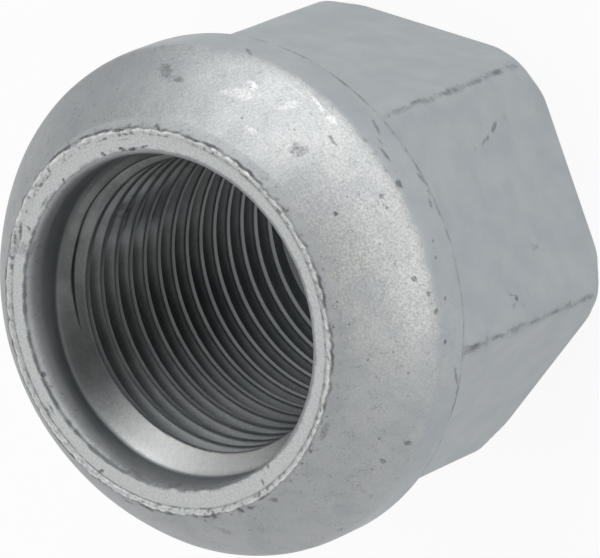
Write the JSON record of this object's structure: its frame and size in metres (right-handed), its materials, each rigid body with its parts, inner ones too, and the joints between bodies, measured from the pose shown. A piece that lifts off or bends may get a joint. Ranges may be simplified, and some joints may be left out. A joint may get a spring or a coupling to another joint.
{
  "type": "lug nut",
  "caption": "Ball collar wheel nut in coated forged steel: hexagon body, round flange with a spherical seat, counterbored mouth and a through thread for a wheel stud.",
  "frame": {"origin": "centre of the hexagon end face, on the axis of the thread", "axes": "+Z along the axis towards the ball seat, +X through a corner of the hexagon, -Y square to a flat"},
  "size_m": [0.0322, 0.0322, 0.0263],
  "materials": {
    "coated_steel": "matte zinc coating on forged and turned steel, lightly worn and stained"
  },
  "bodies": {
    "root": {"lug_nut": "coated_steel"}
  },
  "joints": []
}
